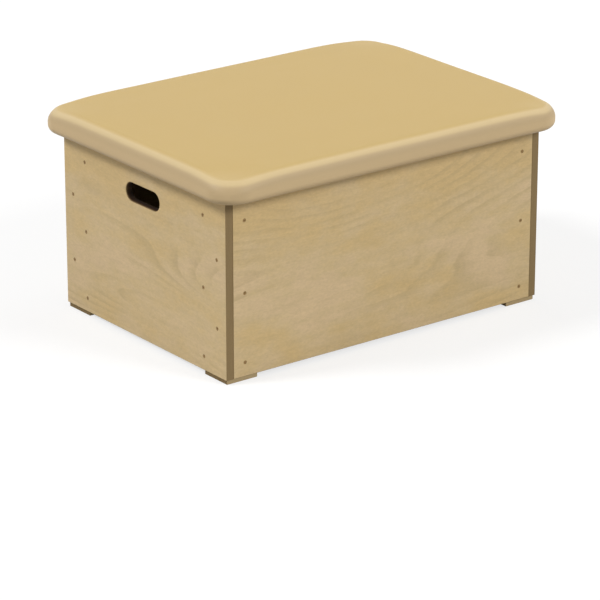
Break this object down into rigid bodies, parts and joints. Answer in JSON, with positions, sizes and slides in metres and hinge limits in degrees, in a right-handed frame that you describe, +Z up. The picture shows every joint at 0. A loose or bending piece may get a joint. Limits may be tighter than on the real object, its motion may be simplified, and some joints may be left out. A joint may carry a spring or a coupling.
{
  "type": "vaulting box",
  "caption": "Single-section gymnastics vaulting box: a screwed birch plywood frame on corner posts and feet, with hand holes and a padded top that lifts off.",
  "frame": {"origin": "on the floor under the middle of the box, level with the undersides of the feet", "axes": "+X along the long side, +Z up; the front long panel faces -Y"},
  "size_m": [0.906, 0.682, 0.4545],
  "materials": {
    "birch_plywood": "satin",
    "rail_timber": "matte",
    "foot_wood": "matte",
    "deck_plywood": "matte",
    "padding_foam": "matte",
    "pad_cover": "matte",
    "screw_steel": "satin"
  },
  "bodies": {
    "box_frame": {"back_panel_screw_1": "screw_steel", "back_panel_screw_2": "screw_steel", "back_panel_screw_3": "screw_steel", "back_panel_screw_4": "screw_steel", "back_panel_screw_5": "screw_steel", "back_panel_screw_6": "screw_steel", "back_side_panel": "birch_plywood", "corner_post_back_left": "rail_timber", "corner_post_back_right": "rail_timber", "corner_post_front_left": "rail_timber", "corner_post_front_right": "rail_timber", "foot_back_left": "foot_wood", "foot_back_right": "foot_wood", "foot_front_left": "foot_wood", "foot_front_right": "foot_wood", "foot_screw_back_left": "screw_steel", "foot_screw_back_right": "screw_steel", "foot_screw_front_left": "screw_steel", "foot_screw_front_right": "screw_steel", "front_panel_screw_1": "screw_steel", "front_panel_screw_2": "screw_steel", "front_panel_screw_3": "screw_steel", "front_panel_screw_4": "screw_steel", "front_panel_screw_5": "screw_steel", "front_panel_screw_6": "screw_steel", "front_side_panel": "birch_plywood", "left_end_panel": "birch_plywood", "left_panel_screw_1": "screw_steel", "left_panel_screw_10": "screw_steel", "left_panel_screw_2": "screw_steel", "left_panel_screw_3": "screw_steel", "left_panel_screw_4": "screw_steel", "left_panel_screw_5": "screw_steel", "left_panel_screw_6": "screw_steel", "left_panel_screw_7": "screw_steel", "left_panel_screw_8": "screw_steel", "left_panel_screw_9": "screw_steel", "right_end_panel": "birch_plywood", "right_panel_screw_1": "screw_steel", "right_panel_screw_10": "screw_steel", "right_panel_screw_2": "screw_steel", "right_panel_screw_3": "screw_steel", "right_panel_screw_4": "screw_steel", "right_panel_screw_5": "screw_steel", "right_panel_screw_6": "screw_steel", "right_panel_screw_7": "screw_steel", "right_panel_screw_8": "screw_steel", "right_panel_screw_9": "screw_steel"},
    "padded_top": {"back_batten": "rail_timber", "back_batten_screw_1": "screw_steel", "back_batten_screw_2": "screw_steel", "back_batten_screw_3": "screw_steel", "deck_board": "deck_plywood", "foam_pad": "padding_foam", "front_batten": "rail_timber", "front_batten_screw_1": "screw_steel", "front_batten_screw_2": "screw_steel", "front_batten_screw_3": "screw_steel", "pad_cover": "pad_cover"}
  },
  "joints": [
    {"name": "top_lift", "type": "slide", "parent": "box_frame", "child": "padded_top", "axis": [0, 0, 1], "range_m": [0, 0.15]}
  ]
}
